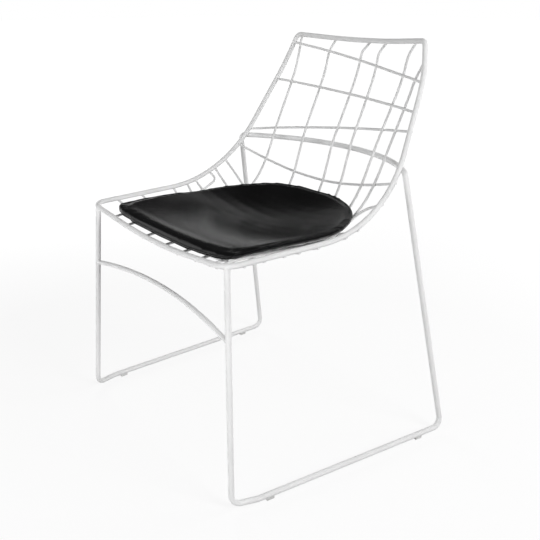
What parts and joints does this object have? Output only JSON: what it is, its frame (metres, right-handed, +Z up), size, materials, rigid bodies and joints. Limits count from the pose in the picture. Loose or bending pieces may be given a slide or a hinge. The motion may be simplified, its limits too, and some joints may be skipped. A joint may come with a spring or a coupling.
{
  "type": "wire chair",
  "caption": "White wire chair on a bent rod sled base, with a dished wire shell and a black seat pad.",
  "frame": {"origin": "on the floor, under the middle of the chair's bounding box", "axes": "+Z up, -Y the way the sitter faces, +X the sitter's left"},
  "size_m": [0.608, 0.5307, 0.7834],
  "materials": {
    "frame": "white powder coat, semi-gloss",
    "leather": "black, satin",
    "foam": "open foam, matt",
    "glide": "translucent white, matt"
  },
  "bodies": {
    "root": {"back_cross_wire_1": "frame", "back_cross_wire_2": "frame", "back_cross_wire_3": "frame", "back_cross_wire_4": "frame", "front_brace": "frame", "front_rim": "frame", "left_edge_wire": "frame", "left_front_glide": "glide", "left_front_leg": "frame", "left_rear_glide": "glide", "left_rear_leg": "frame", "left_runner": "frame", "left_side_rim": "frame", "lengthwise_wire_1": "frame", "lengthwise_wire_2": "frame", "lengthwise_wire_3": "frame", "lengthwise_wire_4": "frame", "lengthwise_wire_5": "frame", "pad_cover": "leather", "pad_foam": "foam", "rear_cross_tube": "frame", "right_edge_wire": "frame", "right_front_glide": "glide", "right_front_leg": "frame", "right_rear_glide": "glide", "right_rear_leg": "frame", "right_runner": "frame", "right_side_rim": "frame", "seat_cross_wire_1": "frame", "seat_cross_wire_2": "frame", "seat_cross_wire_3": "frame", "seat_cross_wire_4": "frame", "seat_cross_wire_5": "frame", "seat_cross_wire_6": "frame", "seat_cross_wire_7": "frame", "side_wire": "frame", "top_rail": "frame"}
  },
  "joints": []
}
